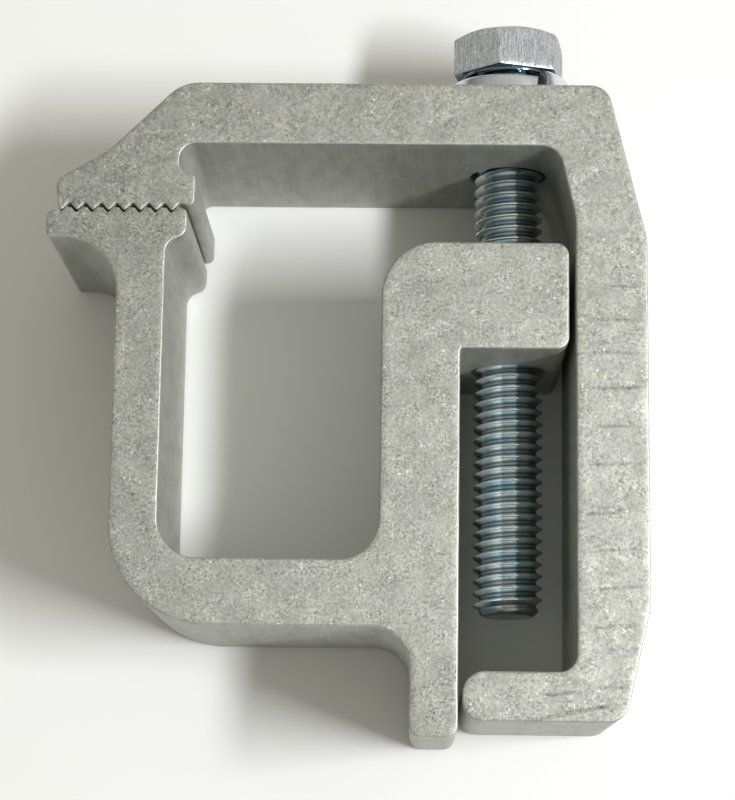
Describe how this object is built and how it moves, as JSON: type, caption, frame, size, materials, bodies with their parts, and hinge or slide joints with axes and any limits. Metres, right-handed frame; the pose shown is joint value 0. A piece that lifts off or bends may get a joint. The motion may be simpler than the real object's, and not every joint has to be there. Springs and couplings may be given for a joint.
{
  "type": "rail clamp",
  "caption": "Two-piece extruded aluminium rail clamp with serrated jaws, drawn closed by a long hex bolt with spring and flat washers.",
  "frame": {"origin": "on the back cut face the clamp lies on, on the bolt's line, at the middle of the top arm's thickness", "axes": "+Z out of the front cut face along the extrusion, +Y along the bolt towards its head, +X from the jaws towards the fixed column"},
  "size_m": [0.079, 0.0973, 0.0305],
  "materials": {
    "fixed_aluminium": "tumbled mill finish, cut faces grey and speckled with fine scratches",
    "sliding_aluminium": "tumbled mill finish, cut faces grey and speckled with fine scratches",
    "zinc_plated_steel": "bright zinc plate with a faint blue tint, glossy threads, scuffed head",
    "washer_steel": "bright zinc plate"
  },
  "bodies": {
    "fixed_frame": {"fixed_frame": "fixed_aluminium"},
    "sliding_jaw": {"sliding_frame": "sliding_aluminium"},
    "bolt": {"hex_bolt": "zinc_plated_steel"},
    "lock_washer": {"lock_washer": "washer_steel"},
    "flat_washer": {"flat_washer": "washer_steel"}
  },
  "joints": [
    {"name": "bolt_turn", "type": "hinge", "parent": "fixed_frame", "child": "bolt", "pos_m": [0, 0, 0.01525], "axis": [0, 1, 0], "range_deg": [0, 8645]},
    {"name": "jaw_slide", "type": "slide", "parent": "fixed_frame", "child": "sliding_jaw", "axis": [0, -1, 0], "range_m": [0, 0.0381]},
    {"name": "lock_washer_spin", "type": "hinge", "parent": "bolt", "child": "lock_washer", "pos_m": [0, 0, 0.01525], "axis": [0, 1, 0], "continuous": true},
    {"name": "flat_washer_spin", "type": "hinge", "parent": "fixed_frame", "child": "flat_washer", "pos_m": [0, 0, 0.01525], "axis": [0, 1, 0], "continuous": true}
  ],
  "couplings": [
    {"joint": "bolt_turn", "follows": "jaw_slide", "rad_per_m": 3957.9}
  ]
}
